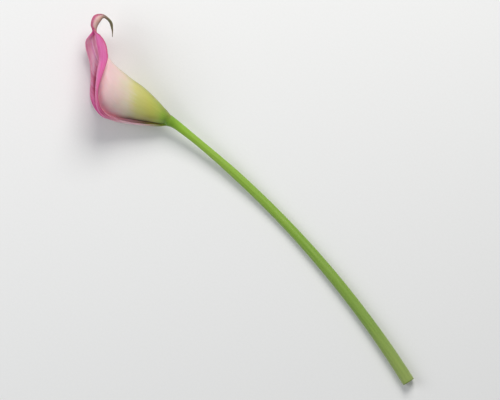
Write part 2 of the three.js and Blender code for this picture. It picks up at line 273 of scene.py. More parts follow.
def half_bends(shape, s, lower):
    """How half a rib bends: its two radii and wrap, then roll, lip radius and flap."""
    mid_back, mid_along, fore_back, fore_along, wrap_angle, lip_radius, roll_angle, flap_length = shape[:8]
    opening, upper_flap = math.radians(shape[8]), shape[9]
    reach = math.hypot(fore_back - mid_back, fore_along - mid_along)
    wrap, full_roll = math.radians(wrap_angle), math.radians(roll_angle)
    edge = rib_edge(full_roll, lip_radius, flap_length, reach)
    radius = (reach - edge_reach(wrap, *edge)) / (1 - math.cos(wrap))
    if not lower:
        return radius, radius, wrap - opening, rib_edge(full_roll - opening, lip_radius, upper_flap, reach)
    shut = 1 - smooth_step(s, SEAM_SHUT, SEAM_OPEN)
    if shut == 0:
        return radius, radius, wrap, edge
    unrolled = 1 - smooth_step(shut, 0, 0.5)
    edge = rib_edge(full_roll * unrolled, lip_radius, flap_length * unrolled, reach)
    aim = blend(reach, radius * (1 - math.cos(wrap)) - TUCK_DEPTH, shut)
    wrap += TUCK_TURN * shut
    turned = math.cos(TIGHTER_FROM) - math.cos(min(wrap, math.pi))
    half_way = radius * (1 - math.cos(TIGHTER_FROM))
    tight = (aim - half_way - edge_reach(wrap, *edge)) / turned
    return radius, blend(radius, tight, shut), wrap, edge


radius, _, wrap, _ = half_bends(curve_at(rib_places, RIBS, 40), 40, lower=False)
print(f"at 40 mm the bowl has a radius of {radius:.1f} mm and bends by {math.degrees(wrap):.0f} degrees")

# %% [markdown]
# Then the points along those bends, from the midrib outwards, each with its length along the blade. Most of
# the columns are in the bowl, and they stand closer beside the midrib, where the keel will rise.

# %% The points on half a rib
BOWL_COLUMNS, LIP_COLUMNS, FLAP_COLUMNS = 54, 18, 8
HALF_COLUMNS = BOWL_COLUMNS + LIP_COLUMNS + FLAP_COLUMNS


def bowl_point(length, radius, front_radius):
    """A point on the bowl at a length from the midrib: ahead, across, length."""
    first = radius * TIGHTER_FROM
    if length <= first:
        turn = length / radius
        return radius * (1 - math.cos(turn)), radius * math.sin(turn), length
    turn = TIGHTER_FROM + (length - first) / front_radius
    return (
        radius * (1 - math.cos(TIGHTER_FROM)) + front_radius * (math.cos(TIGHTER_FROM) - math.cos(turn)),
        radius * math.sin(TIGHTER_FROM) + front_radius * (math.sin(turn) - math.sin(TIGHTER_FROM)),
        length,
    )


def half_rib(shape, s, lower):
    """Points (ahead, across, length from the midrib) on half a rib, and where its lip begins."""
    radius, front_radius, wrap, (roll, lip, flap) = half_bends(shape, s, lower)
    bowl = radius * min(TIGHTER_FROM, wrap) + front_radius * max(wrap - TIGHTER_FROM, 0)
    points = []
    for j in range(BOWL_COLUMNS + 1):
        share = j / BOWL_COLUMNS
        points.append(bowl_point(bowl * share * (1 + share) / 2, radius, front_radius))
    ahead, across, _ = points[-1]
    for j in range(1, LIP_COLUMNS + 1):
        turn = wrap - roll * j / LIP_COLUMNS
        points.append((
            ahead + lip * (math.cos(turn) - math.cos(wrap)),
            across + lip * (math.sin(wrap) - math.sin(turn)),
            bowl + lip * roll * j / LIP_COLUMNS,
        ))
    ahead, across, length = points[-1]
    for j in range(1, FLAP_COLUMNS + 1):
        out = flap * j / FLAP_COLUMNS
        turn = wrap - roll
        points.append((ahead + out * math.sin(turn), across + out * math.cos(turn), length + out))
    return points, bowl


example, bowl_length = half_rib(curve_at(rib_places, RIBS, 40), 40, lower=False)
print(f"at 40 mm the half rib is {example[-1][2]:.1f} mm long, and its lip begins at {bowl_length:.1f} mm")

# %% [markdown]
# Now the grid. `create_grid` makes a flat sheet, and every vertex is carried to its place on its rib. The
# sheet also remembers what the colours will need: how far each point is from the midrib, along it, from the
# margin and from the line where the lip begins to roll. Such memory is a mesh attribute, and it follows the
# surface however it is rolled, which object coordinates could not.

# %% The blade of the spathe
BLADE_ROWS = 236
TIP_LENGTH, TIP_WIDTH = 7.0, 0.3     # the tail narrows to this share of its width over its last stretch


def tip_share(s):
    """The blade's share of its rib's width, which is less than 1 only at the tip."""
    return blend(1.0, TIP_WIDTH, smooth_step(s, MIDRIB_LENGTH - TIP_LENGTH, MIDRIB_LENGTH))


def blade_places():
    """For each row of the grid, the points from the lower margin to the upper one and what they remember."""
    rows = []
    for i in range(BLADE_ROWS + 1):
        s = MIDRIB_LENGTH * i / BLADE_ROWS
        shape = curve_at(rib_places, RIBS, s)
        middle, foremost = Vector(shape[0:2]), Vector(shape[2:4])
        forward = (foremost - middle).normalized()
        slim = tip_share(s)
        middle = middle.lerp(foremost, (1 - slim) / 2)
        row = []
        for sign in (-1, 1):
            points, bowl = half_rib(shape, s, lower=sign < 0)
            length = points[-1][2]
            half = []
            for ahead, across, side in points:
                place = laid(*(middle + forward * ahead * slim), sign * across * slim)
                half.append((place, (sign * side, s, length - side), bowl - side))
            row += half[:0:-1] if sign < 0 else half
        rows.append(row)
    return rows


def spathe_sheet():
    """The blade in millimetres, still without its thickness, and its two memory layers."""
    sheet = bmesh.new()
    columns = 2 * HALF_COLUMNS
    bmesh.ops.create_grid(sheet, x_segments=columns, y_segments=BLADE_ROWS, size=0.5)
    blade = sheet.verts.layers.float_vector.new("memory")
    fold = sheet.verts.layers.float.new("fold")
    places = blade_places()
    for v in sheet.verts:
        row, column = round((v.co.y + 0.5) * BLADE_ROWS), round((v.co.x + 0.5) * columns)
        place, memory, to_fold = places[row][column]
        v.co = place
        v[blade] = memory
        v[fold] = to_fold
    sheet.normal_update()
    return sheet, blade, fold


sheet, blade_layer, fold_layer = spathe_sheet()
print("the blade has", len(sheet.verts), "points and", len(sheet.faces), "faces")

# %% [markdown]
# A real spathe isn't as even as a formula. Its midrib stands out as a keel, fine veins run from the base to
# the tail, the blade undulates a little, and the free lip waves. Each is a small step along the surface's
# normal. The blade is also thickest at the keel and thins out towards its margin, which a vertex group will
# tell the Solidify modifier.

# %% Keel and thickness
KEEL_RISE, KEEL_WIDTH = 0.24, 1.0
KEEL_START, KEEL_LOSS = (0, 9), 0.6      # it comes in over this stretch, and loses this share on the tail
TAIL_FROM, TAIL_FULL = 58.0, 64.0
KEEL_THICKNESS, BODY_THICKNESS, MARGIN_THICKNESS, BRIM_THICKNESS = 1.05, 0.72, 0.42, 0.26
TAIL_THICKNESS, LEAST_THICKNESS = 0.6 * BODY_THICKNESS, 0.2
BRIM_STRETCH, BODY_STRETCH = (0.0, 0.5), (0.8, 9.0)      # the blade thickens inwards over these
FOOT_THICKNESS, FOOT_LENGTH = 0.3, 5.0   # at its base the blade thins out into the stem's skin


def keel_share(side, s):
    """1 on the midrib, and less beside it, at the base and on the tail."""
    on_tail = 1 - KEEL_LOSS * smooth_step(s, TAIL_FROM, TAIL_FULL)
    along = smooth_step(s, *KEEL_START) * on_tail * tip_share(s)
    return math.exp(-((side / KEEL_WIDTH) ** 2)) * along


def thickness_at(side, s, to_margin):
    body = blend(MARGIN_THICKNESS, BODY_THICKNESS, smooth_step(to_margin, *BODY_STRETCH))
    body = blend(BRIM_THICKNESS, body, smooth_step(to_margin, *BRIM_STRETCH))
    body = blend(body, TAIL_THICKNESS, smooth_step(s, TAIL_FROM, TAIL_FULL))
    body = blend(FOOT_THICKNESS, body, smooth_step(s, 0, FOOT_LENGTH))
    return max(blend(body, KEEL_THICKNESS, keel_share(side, s)) * tip_share(s), LEAST_THICKNESS)


thicknesses = [thickness_at(*v[blade_layer]) for v in sheet.verts]
print(f"the blade is {min(thicknesses):.2f} to {max(thicknesses):.2f} mm thick")

# %% [markdown]
# The veins are even ridges, their strength left to noise, a smooth, repeatable kind of chance. The swell,
# the waves and the folds are noise alone. Each has a layer and a stretch of its own: only the free part of
# the lips waves and folds.

# %% Veins, swell and pleats
VEINS_A_SIDE, VEIN_RISE, VEIN_RATE, VEIN_START = 13, 0.02, 0.03, (4, 14)
SWELL_RISE, SWELL_RATES, SWELL_START = 0.12, (0.09, 0.07), (4, 20)
WAVE_RISE, WAVE_RATE, LIP_STRETCH = 0.3, 0.22, (0, 5)
WAVE_START, WAVE_END = (26, 40), (46, TAIL_FROM)
PLEATS_A_SIDE, PLEAT_RISE, PLEAT_RATE = 6.0, 0.3, 0.04    # soft lengthwise folds of the lips
PLEAT_INSIDE, PLEAT_START, PLEAT_END = (0.3, 0.5), (34, 44), (54, TAIL_FROM)


def chance(x, y, layer):
    """Smooth noise round 0, from a layer of its own."""
    return noise.noise(Vector((x, y, layer)))


def relief_at(side, s, to_margin, to_fold):
    """How far the surface stands out, all kinds of bumps together."""
    share = abs(side) / max(abs(side) + to_margin, 1e-6)
    body = 1 - smooth_step(s, TAIL_FROM, TAIL_FULL)
    ridge = (0.5 + 0.5 * math.cos(2 * math.pi * VEINS_A_SIDE * share)) ** 2
    strength = 0.6 + 0.8 * chance(share * VEINS_A_SIDE, s * VEIN_RATE, 3 if side > 0 else 9)
    veins = VEIN_RISE * ridge * strength * smooth_step(s, *VEIN_START) * body
    swell = SWELL_RISE * chance(side * SWELL_RATES[0], s * SWELL_RATES[1], 21)
    swell = swell * smooth_step(s, *SWELL_START) * body
    free = smooth_step(-to_fold, *LIP_STRETCH) * smooth_step(s, *WAVE_START) * (1 - smooth_step(s, *WAVE_END))
    wave = WAVE_RISE * free * chance(s * WAVE_RATE, 5 if side > 0 else 40, 2)
    loose = smooth_step(s, *PLEAT_START) * (1 - smooth_step(s, *PLEAT_END))
    loose *= smooth_step(share, *PLEAT_INSIDE)
    pleat = PLEAT_RISE * loose * chance(share * PLEATS_A_SIDE, s * PLEAT_RATE, 60 if side > 0 else 80)
    return KEEL_RISE * keel_share(side, s) + veins + swell + wave + pleat


def raise_relief(sheet):
    """Steps each point out by its relief, presses it flat where it rests, and takes it to the frame."""
    normals = {v: v.normal.copy() for v in sheet.verts}
    for v in sheet.verts:
        side, s, to_margin = v[blade_layer]
        v.co += normals[v] * relief_at(side, s, to_margin, v[fold_layer])
        v.co.z = max(v.co.z, thickness_at(side, s, to_margin) / 2)
        v.co = in_frame(v.co)


raise_relief(sheet)
print(f"the spathe's top is {max(v.co.z for v in sheet.verts) / MM:.1f} mm above the surface")

# %% [markdown]
# The sheet becomes a mesh object, and Solidify gives it its two faces and its brim. The modifier hands the
# face that it adds, the outer one, to the second material slot, so the inside and the outside get their own
# colours.

# %% The spathe as a solid leaf
def piece_from(sheet, name):
    """A new object at the origin, smooth, made from a bmesh that is then freed."""
    mesh = bpy.data.meshes.new(name)
    sheet.to_mesh(mesh)
    sheet.free()
    mesh.polygons.foreach_set("use_smooth", [True] * len(mesh.polygons))
    piece = bpy.data.objects.new(name, mesh)
    bpy.context.scene.collection.objects.link(piece)
    return piece


spathe = piece_from(sheet, "spathe_leaf")
thick = spathe.vertex_groups.new(name="thickness")
for index, thickness in enumerate(thicknesses):
    weight = (thickness - LEAST_THICKNESS) / (KEEL_THICKNESS - LEAST_THICKNESS)
    thick.add([index], min(max(weight, 0), 1), "REPLACE")

leaf = spathe.modifiers.new("leaf thickness", "SOLIDIFY")
leaf.thickness = KEEL_THICKNESS * MM
leaf.offset = 0
leaf.vertex_group = thick.name
leaf.thickness_vertex_group = LEAST_THICKNESS / KEEL_THICKNESS
leaf.use_even_offset = False
leaf.material_offset = 1
leaf.material_offset_rim = 0
print("spathe:", len(spathe.data.vertices), "points before its thickness")

# %% [markdown]
# The stem is a tube. A grid is rolled into it, ring by ring, and its two long edges are merged. The neck
# inside the funnel and the shoulder that the funnel sits on are simply rings with another radius. Shallow
# ribs run along a real arum stem and fade out below the flower, and its weight presses it flat where it
# lies.

# %% The stem
STEM_SIDES, STEM_RINGS = 64, 300
RINGS_CLOSER = 1.3                       # a power above 1 sets the rings closer below the flower
SEAT_DEPTH, SEAT_EDGE = 0.1, 0.25        # the flat seat of the funnel's base, below it and in from the skin
COLLAR_TOP, COLLAR_RISE = -0.3, 0.2      # the stem's skin laps a little over the funnel's base
COLLAR_END = 2.6                         # and is even again from here on
STEM_RIDGES, RIDGE_RISE, RIDGE_START = 11, 0.045, (2, 30)
RIDGE_SWAY, SWAY_RATE = 0.6, 0.02        # the ribs wind a little about the stem
LUMP_RISE, LUMP_AROUND, LUMP_ALONG = 0.05, 1.3, 0.05


def stem_ring(ring):
    """Distance below the funnel's base and radius of a ring, from the neck's top to the cut end."""
    if ring == 0:
        return -NECK_LENGTH, NECK_RADIUS
    if ring == 1:
        return SEAT_DEPTH, NECK_RADIUS
    if ring == 2:
        return SEAT_DEPTH, radius_at(STEM_RADII, SEAT_DEPTH) - SEAT_EDGE
    share = (ring - 3) / (STEM_RINGS - 3)
    distance = COLLAR_TOP + (STEM_LENGTH - COLLAR_TOP) * share**RINGS_CLOSER
    collar = COLLAR_RISE * (1 - smooth_step(distance, 0.0, COLLAR_END))
    return distance, radius_at(STEM_RADII, distance) + collar


def stem_skin():
    """The tube, open at both ends; each point remembers its side of the stem and its distance."""
    skin = bmesh.new()
    bmesh.ops.create_grid(skin, x_segments=STEM_SIDES, y_segments=STEM_RINGS, size=0.5)
    memory = skin.verts.layers.float_vector.new("memory")
    for v in skin.verts:
        angle = 2 * math.pi * (v.co.x + 0.5)
        distance, radius = stem_ring(round((0.5 - v.co.y) * STEM_RINGS))
        ridge = RIDGE_RISE * math.cos(STEM_RIDGES * angle + RIDGE_SWAY * math.sin(distance * SWAY_RATE))
        east, north = math.cos(angle), math.sin(angle)
        lump = LUMP_RISE * chance(east * LUMP_AROUND, north * LUMP_AROUND, distance * LUMP_ALONG)
        if distance > SHOULDER:
            radius += (ridge + lump) * smooth_step(distance, *RIDGE_START)
        middle, aside, upright = stem_axes(distance)
        point = middle + aside * (radius * north) + upright * (radius * east)
        if radius == NECK_RADIUS:
            point += aside * NECK_BACK
        point.z = max(point.z, 0.0)
        v.co = in_frame(point)
        v[memory] = (east, north, distance)
    bmesh.ops.remove_doubles(skin, verts=skin.verts, dist=1e-6)
    return skin


skin = stem_skin()
open_edges = sum(e.is_boundary for e in skin.edges)
print("the stem's skin has", len(skin.faces), "faces and", open_edges, "open edges")

# %% [markdown]
# A cut with a sharp knife leaves a flat, moist face: a thin green skin round pale flesh, dotted with the
# ends of the vessels. The open end is closed with one face, which is inset a few times, so that the middle
# can sink a little, as cut flesh dries back.

# %% The cut end
CUT_INSETS = [(0.25, 0.0), (0.25, 0.04), (0.5, 0.05), (0.7, 0.03), (0.8, 0.02), (0.6, 0.0)]   # in, sunk


def close_ends(skin):
    """Closes both ends of the tube and works the lower one into a cut face."""
    open_edges = [e for e in skin.edges if e.is_boundary]
    caps = bmesh.ops.holes_fill(skin, edges=open_edges, sides=0)["faces"]
    cut = max(caps, key=lambda face: face.calc_area())
    cut.material_index = 1
    for inwards, sunk in CUT_INSETS:
        rim = bmesh.ops.inset_region(skin, faces=[cut], thickness=inwards * MM, depth=-sunk * MM)["faces"]
        for face in rim:
            face.material_index = 1
    bmesh.ops.poke(skin, faces=[f for f in skin.faces if len(f.verts) > 4])
    for v in skin.verts:
        v.co.z = max(v.co.z, 0.0)


close_ends(skin)
bmesh.ops.recalc_face_normals(skin, faces=skin.faces)
stem = piece_from(skin, "stem_flesh")
print("stem:", len(stem.data.polygons), "faces")

# %% [markdown]
# The spadix is a finger covered with about a thousand tiny florets, packed in the spirals that growing
# plants make: each next floret is turned by the golden angle. Below stand the pale green ovaries, above the
# yellow-orange pollen florets. A displaced texture would be cheaper, but real small domes catch the light
# from every side, so each floret is a low dome of a few faces on a smooth core. The core comes first: a
# ball, drawn out to a finger.

# %% The core of the spadix
SPADIX_LENGTH = 34.0
SPADIX_GAP = 0.3                         # it stands so far from the stem's neck
SPADIX_RADII = [(0, 1.4), (0.08, 1.9), (0.2, 2.7), (0.4, 3.0), (0.7, 2.6), (0.9, 1.9), (1, 1.2)]
ROUND_START, ROUND_END = 0.03, 0.05      # the shares of its length that are rounded off at its ends
CORE_SIDES, CORE_RINGS = 40, 72


def finger_radius(share):
    """Radius of the finger's smooth core, rounded off at both ends."""
    over, under = max(share - (1 - ROUND_END), 0), max(ROUND_START - share, 0)
    round_end = math.sqrt(max(1 - over**2 / ROUND_END**2, 0))
    round_start = math.sqrt(max(1 - under**2 / ROUND_START**2, 0))
    return radius_at(SPADIX_RADII, share) * round_end * round_start


def finger_point(share, angle, radius):
    """A point at a radius from the finger's axis, on the lying flower."""
    along = NECK_LENGTH + SPADIX_GAP + SPADIX_LENGTH * share
    return laid(NECK_BACK + radius * math.cos(angle), along, radius * math.sin(angle))


def spadix_core():
    """The smooth core, and the layer in which each point remembers tint, share and height."""
    core = bmesh.new()
    bmesh.ops.create_uvsphere(core, u_segments=CORE_SIDES, v_segments=CORE_RINGS, radius=1)
    memory = core.verts.layers.float_vector.new("memory")
    for v in core.verts:
        share = math.acos(min(max(-v.co.z, -1), 1)) / math.pi
        radius = finger_radius(share) if 0 < share < 1 else 0
        v.co = finger_point(share, math.atan2(v.co.y, v.co.x), radius)
        v[memory] = (0, share, 0)
    return core, memory


core, floret_layer = spadix_core()
print("the spadix core has", len(core.faces), "faces")

# %% [markdown]
# A floret is a coarse ball, pressed low and set upright on the core's slope, so that only its dome shows.
# How fast the spiral climbs follows from the finger's girth and from how much room one floret takes up.

# %% The florets
OVARY_SHARE, OVARY_FADE = 0.24, 0.03     # the lowest part of the finger carries the larger ovaries
FLORET_SPACING, OVARY_SPACING = 0.74, 1.25
FLORET_WIDTH, OVARY_WIDTH, WIDTH_RANGE = 0.78, 1.2, (0.92, 1.08)
FLORET_RISE, OVARY_RISE, RISE_RANGE = 0.26, 0.4, (0.85, 1.1)
PACKING = 0.82                   # one floret takes up this share of a square of its spacing
LEAST_RADIUS = 0.35              # the spiral climbs no faster than round such a finger
SPIRAL_ENDS = (0.012, 0.992)
SLOPE_STEP = 0.01                # the core's slope is read so far before and after a floret
GOLDEN_ANGLE = math.pi * (3 - math.sqrt(5))


def ovary_share(share):
    """1 among the ovaries, 0 among the pollen florets."""
    return 1 - smooth_step(share, OVARY_SHARE - OVARY_FADE, OVARY_SHARE + OVARY_FADE)


def add_floret(core, memory, share, angle, width, rise, tint):
    """A low dome on the core, its height along the core's own outward direction."""
    foot = finger_point(share, angle, finger_radius(share))
    wider = finger_radius(min(share + SLOPE_STEP, 1)) - finger_radius(max(share - SLOPE_STEP, 0))
    slope = wider / (2 * SLOPE_STEP * SPADIX_LENGTH)
    outward = (finger_point(share, angle, 1) - finger_point(share, angle, 0)).normalized()
    upward = (finger_point(1, 0, 0) - finger_point(0, 0, 0)).normalized()
    normal = (outward - upward * slope).normalized()
    along = (upward - normal * upward.dot(normal)).normalized()
    aside = normal.cross(along)
    made = bmesh.ops.create_icosphere(core, subdivisions=1, radius=1)["verts"]
    for v in made:
        x, y, z = v.co
        v.co = foot + (along * x + aside * y) * width / 2 + normal * (z * rise)
        v[memory] = (tint, share, max(z, 0))


share_steps = []
reach = 0.0
while reach < 1:
    share_steps.append(reach)
    spacing = blend(FLORET_SPACING, OVARY_SPACING, ovary_share(reach))
    girth = 2 * math.pi * max(finger_radius(reach), LEAST_RADIUS)
    reach += spacing * spacing * PACKING / girth / SPADIX_LENGTH

random.seed(7)
for number, share in enumerate(share_steps):
    ovary = ovary_share(share)
    width = blend(FLORET_WIDTH, OVARY_WIDTH, ovary) * random.uniform(*WIDTH_RANGE)
    rise = blend(FLORET_RISE, OVARY_RISE, ovary) * random.uniform(*RISE_RANGE)
    share = min(max(share, SPIRAL_ENDS[0]), SPIRAL_ENDS[1])
    add_floret(core, floret_layer, share, number * GOLDEN_ANGLE, width, rise, random.random())
for v in core.verts:
    v.co = in_frame(v.co)
bmesh.ops.recalc_face_normals(core, faces=core.faces)
spadix = piece_from(core, "spadix_finger")
print("the spadix has", len(share_steps), "florets and", len(spadix.data.polygons), "faces")

# %% [markdown]
# The materials are recipes of nodes. `Recipe` is a small notebook for them: each method adds a node or two,
# takes numbers or the outputs of other nodes, and returns the last one's output, so a recipe reads from top
# to bottom. Colours are written as they look on screen and turned into the linear values that the shader
# works with. The method used most is `wash`, a thin coat of colour over the others.

# %% A notebook for node recipes
def screen(red, green, blue):
    """A colour as it looks on screen, 0 to 255, as linear values."""
    def linear(value):
        value /= 255
        return value / 12.92 if value <= 0.04045 else ((value + 0.055) / 1.055) ** 2.4
    return (linear(red), linear(green), linear(blue), 1.0)


class Recipe:
    def __init__(self, name):
        self.material = bpy.data.materials.new(name)
        self.material.use_nodes = True
        self.nodes = self.material.node_tree.nodes
        self.shader = self.nodes["Principled BSDF"]

    def add(self, kind, inputs, output=0, **settings):
        node = self.nodes.new("ShaderNode" + kind)
        for key, value in settings.items():
            setattr(node, key, value)
        for key, value in inputs.items():
            self.set(node.inputs[key], value)
        return node.outputs[output]

    def set(self, socket, value):
        if isinstance(value, bpy.types.NodeSocket):
            self.material.node_tree.links.new(value, socket)
        else:
            socket.default_value = value

    def finish(self, inputs):
        for key, value in inputs.items():
            self.set(self.shader.inputs[key], value)
        return self.material

    def remembered(self):
        """The three numbers that each point of the mesh remembers."""
        vector = self.add("Attribute", {}, "Vector", attribute_name="memory")
        return [self.add("SeparateXYZ", {0: vector}, k) for k in range(3)]

    def place(self):
        return self.add("TexCoord", {}, "Object")

    def math(self, operation, a, b=0.0):
        return self.add("Math", {0: a, 1: b}, operation=operation)

    def times(self, a, b):
        return self.math("MULTIPLY", a, b)

    def plus(self, a, b):
        return self.math("ADD", a, b)

    def spread(self, pattern, reach):
        """A grey pattern as an offset to either side."""
        return self.times(self.math("SUBTRACT", pattern, 0.5), reach)

    def soft(self, value, low, high, start=0.0, end=1.0):
        """Goes softly from start to end while the value goes from low to high."""
        ranges = {"Value": value, "From Min": low, "From Max": high, "To Min": start, "To Max": end}
        return self.add("MapRange", ranges, interpolation_type="SMOOTHSTEP")

    def vector(self, x, y, z):
        return self.add("CombineXYZ", {0: x, 1: y, 2: z})

    def cloud(self, vector, scale, detail=2.0, roughness=0.5):
        inputs = {"Vector": vector, "Scale": scale, "Detail": detail, "Roughness": roughness}
        return self.add("TexNoise", inputs)

    def cells(self, vector, scale):
        return self.add("TexVoronoi", {"Vector": vector, "Scale": scale})

    def ramp(self, value, length, stops):
        """Colours along a length: stops are (place, colour)."""
        output = self.add("ValToRGB", {0: self.math("DIVIDE", value, length)})
        elements = output.node.color_ramp.elements
        elements.remove(elements[1])
        elements[0].position, elements[0].color = stops[0][0] / length, screen(*stops[0][1])
        for place, colour in stops[1:]:
            elements.new(place / length).color = screen(*colour)
        return output

    def mix(self, share, a, b, blend_type="MIX"):
        node = self.nodes.new("ShaderNodeMix")
        node.data_type = "RGBA"
        node.blend_type = blend_type
        for key, value in ((0, share), (6, a), (7, b)):
            self.set(node.inputs[key], value)
        return node.outputs[2]

    def wash(self, body, colour, mask, strength=1.0, blend_type="MIX"):
        """The body with a screen colour over it, where the mask is not 0."""
        if strength != 1.0:
            mask = self.times(mask, strength)
        return self.mix(mask, body, screen(*colour), blend_type)

    def bump(self, height, distance, strength=1.0, under=None):
        inputs = {"Height": height, "Distance": distance, "Strength": strength}
        if under is not None:
            inputs["Normal"] = under
        return self.add("Bump", inputs, "Normal")


print("a green as the shader sees it:", [round(c, 3) for c in screen(130, 170, 60)])

# %% [markdown]
# Both faces of the spathe show its veins as fine streaks. They are noise, stretched along the blade: the
# pattern reads a point's share of the way from the midrib to the margin, so the streaks run together at both
# ends, as real veins do. Small cells in the bump give the skin its satin grain.

# %% Streaks and grain of the blade
GRAINS = 9000.0                  # so many to a metre
PETAL = {                        # both faces are satin, and the flesh lets a little light through
    "Subsurface Weight": 0.4, "Subsurface Scale": 0.002, "Sheen Roughness": 0.4, "Specular IOR Level": 0.4,
}


def blade_share(r, side, to_margin):
    """The distance from the midrib, and its share: 0 at the midrib, 1 at the margin."""
    away = r.math("ABSOLUTE", side)
    return away, r.math("DIVIDE", away, r.plus(r.plus(away, to_margin), 0.001))


def blade_streaks(r, side, s, share):
    """Veins as two soft grey patterns round 0.5, a wide and a fine one."""
    sway = r.cloud(r.place(), 60, 1)
    thread = r.plus(r.times(share, 34), r.times(sway, 0.8))
    half = r.math("SIGN", side)          # so that the two halves of the blade differ
    wide = r.cloud(r.vector(thread, r.times(s, 0.035), half), 1, 2, 0.6)
    fine = r.cloud(r.vector(thread, r.times(s, 0.06), half), 3.1, 2, 0.6)
    return wide, fine


def petal_grain(r):
    return r.bump(r.cells(r.place(), GRAINS), 0.00003, 0.35)


print(f"the grain of the skin is about {1 / GRAINS / MM:.2f} mm fine")

# %% [markdown]
# Outside, the spathe keeps the stem's green at its base, ripens through yellow and cream, and blushes pink
# towards the lips. The blush starts at the margins: at the midrib the yellow runs further up than at the
# front. So the colour follows "ripeness", the distance along the midrib plus a share of the distance from
# it. Over it lie the washes: the keel stays green, a painted shade makes the funnel's lower part olive-brown
# towards its rolled rim, the rim itself is pale pink, a painted shadow darkens the crease behind it, and the
# neck of the tail is magenta. The tail is brownish at its midrib, cream on its flanks and pink at its
# margins, and olive at its tip.

# %% Outside of the spathe
RIPENS_AT_FRONT = 15             # the front is ahead of the midrib by so many millimetres
RIPENESS_FULL = 64               # the blade ripens over so many


def outside_of_spathe():
    r = Recipe("spathe outside")
    side, s, to_margin = r.remembered()
    to_fold = r.add("Attribute", {}, "Fac", attribute_name="fold")
    away, share = blade_share(r, side, to_margin)
    wide, fine = blade_streaks(r, side, s, share)
    patches = r.cloud(r.place(), 85, 3, 0.55)
    ahead = r.times(share, r.soft(s, 1, 13, 0, RIPENS_AT_FRONT))
    ripeness = r.plus(r.plus(r.plus(s, ahead), r.spread(patches, 9)), r.spread(wide, 6))
    body = r.ramp(ripeness, RIPENESS_FULL, [
        (0, (116, 156, 40)), (6, (146, 178, 64)), (12, (170, 185, 82)), (20, (190, 190, 92)),
        (29, (204, 200, 128)), (36, (218, 205, 180)), (42, (226, 202, 194)), (50, (230, 194, 196)),
        (62, (222, 168, 190)),
    ])
    blush = r.times(r.soft(to_fold, 6, 0), r.soft(s, 16, 36))
    body = r.wash(body, (220, 156, 184), blush, 0.5)
    keel = r.times(r.soft(away, 7, 0.5), r.soft(s, 48, 26))
    body = r.wash(body, (140, 138, 56), keel, 0.7)
    # painted shade: the funnel's lower part darkens to olive-brown towards its rolled rim
    painted_shade = r.times(r.soft(to_fold, 7.5, 0.5), r.soft(s, 32, 22))
    body = r.wash(body, (112, 96, 66), r.times(painted_shade, r.soft(s, 6, 14)), 0.7)
    rim = r.times(r.soft(to_fold, -0.5, -1.5), r.soft(s, 10, 24))
    body = r.wash(body, (246, 196, 210), rim, 0.95)
    # painted shadow: dark brown in the gutter between the body and its rolled rim
    painted_crease_shadow = r.times(r.soft(to_fold, 1.6, 0), r.soft(to_fold, -1.6, -0.6))
    painted_crease_shadow = r.times(painted_crease_shadow, r.times(r.soft(s, 28, 18), r.soft(s, 2, 6)))
    body = r.wash(body, (84, 58, 42), painted_crease_shadow, 0.85)
    tail = r.ramp(share, 1, [
        (0, (140, 104, 86)), (0.2, (170, 130, 122)), (0.42, (214, 172, 160)), (0.62, (226, 182, 180)),
        (0.8, (190, 104, 134)), (1, (180, 70, 110)),
    ])
    tail = r.wash(tail, (94, 92, 60), r.soft(s, 67, 73))
    colour = r.mix(r.soft(s, TAIL_FROM, 63), body, tail)
    neck = r.times(r.soft(s, 55, 58.5), r.soft(s, 63.5, 60.5))
    colour = r.wash(colour, (206, 66, 126), neck, 0.75)
    veined = r.soft(r.spread(fine, 0.5), 0, 0.16, 0, 0.1)
    colour = r.wash(colour, (196, 120, 120), veined, blend_type="MULTIPLY")
    return r.finish({
        "Base Color": colour, "Roughness": r.soft(patches, 0.3, 0.7, 0.36, 0.5),
        "Normal": r.bump(fine, 0.00016, 0.5, petal_grain(r)),
        "Subsurface Radius": (1, 0.5, 0.4), "Sheen Weight": 0.12, **PETAL,
    })


outside = outside_of_spathe()
print("outside of the spathe:", len(outside.node_tree.nodes), "nodes")

# %% [markdown]
# The lips roll outwards, so what shows there is the inside of the leaf: crimson at the very margin, strong
# magenta on the roll, and paler pink further in, down to a yellow-green throat. The lower lobe is paler
# further in, partly its own colour and partly painted light that lifts the shade under the upper lobe, and
# deep in its hollow a painted glow lifts the shadow of the fold, standing in for light through the thin
# blade. The upper lobe is paler beside the throat and duller near its margin. Lighter and darker streaks
# along soft folds run through both, as painted highlights and painted shade. Along the closed funnel the
# rolled rim is a pale pink, made paler still as painted light on its shaded face, and right above the stem
# it is green.

# %% Inside of the spathe
PINK_DEPTH = 30                  # the pink fades out over so many millimetres from the margin


